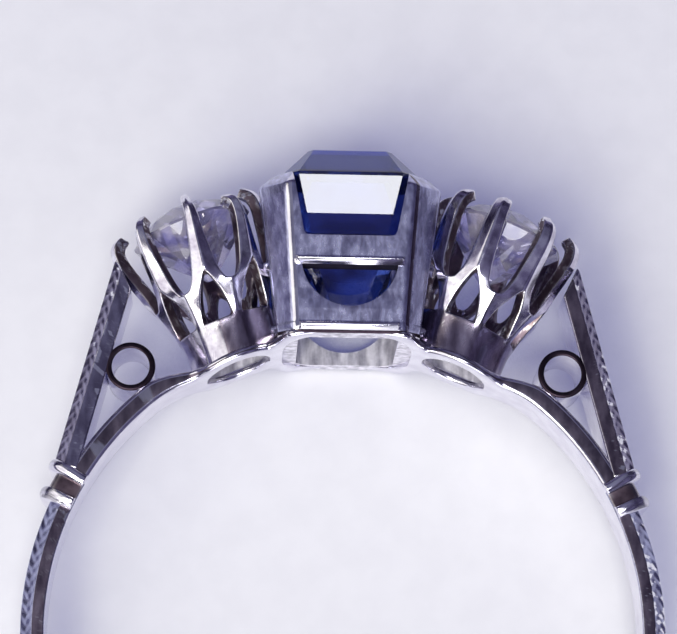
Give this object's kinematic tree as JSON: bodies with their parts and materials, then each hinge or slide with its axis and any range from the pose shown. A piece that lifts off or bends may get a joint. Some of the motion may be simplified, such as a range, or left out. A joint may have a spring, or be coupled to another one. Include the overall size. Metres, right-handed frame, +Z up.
{
  "type": "sapphire engagement ring",
  "caption": "Three-stone ring: a step-cut blue stone in a tapered box setting between two round stones in clawed coronets, on a slim band with forked, pierced shoulders.",
  "frame": {"origin": "bottom centre of the ring as it lies on its side: where it rests is Z = 0, and X = 0, Y = 0 is the middle of its box", "axes": "+Z up, close to the finger's direction; +Y from the finger hole to the middle stone; +X to the right round stone"},
  "size_m": [0.0188, 0.0236, 0.006],
  "materials": {
    "platinum": "hand-polished white metal, softly worn, with satin engraved bevels",
    "sapphire": "polished step-cut facets",
    "diamond": "polished old-cut facets"
  },
  "bodies": {
    "root": {"ring_mount": "platinum", "sapphire": "sapphire", "left_diamond": "diamond", "right_diamond": "diamond"}
  },
  "joints": []
}
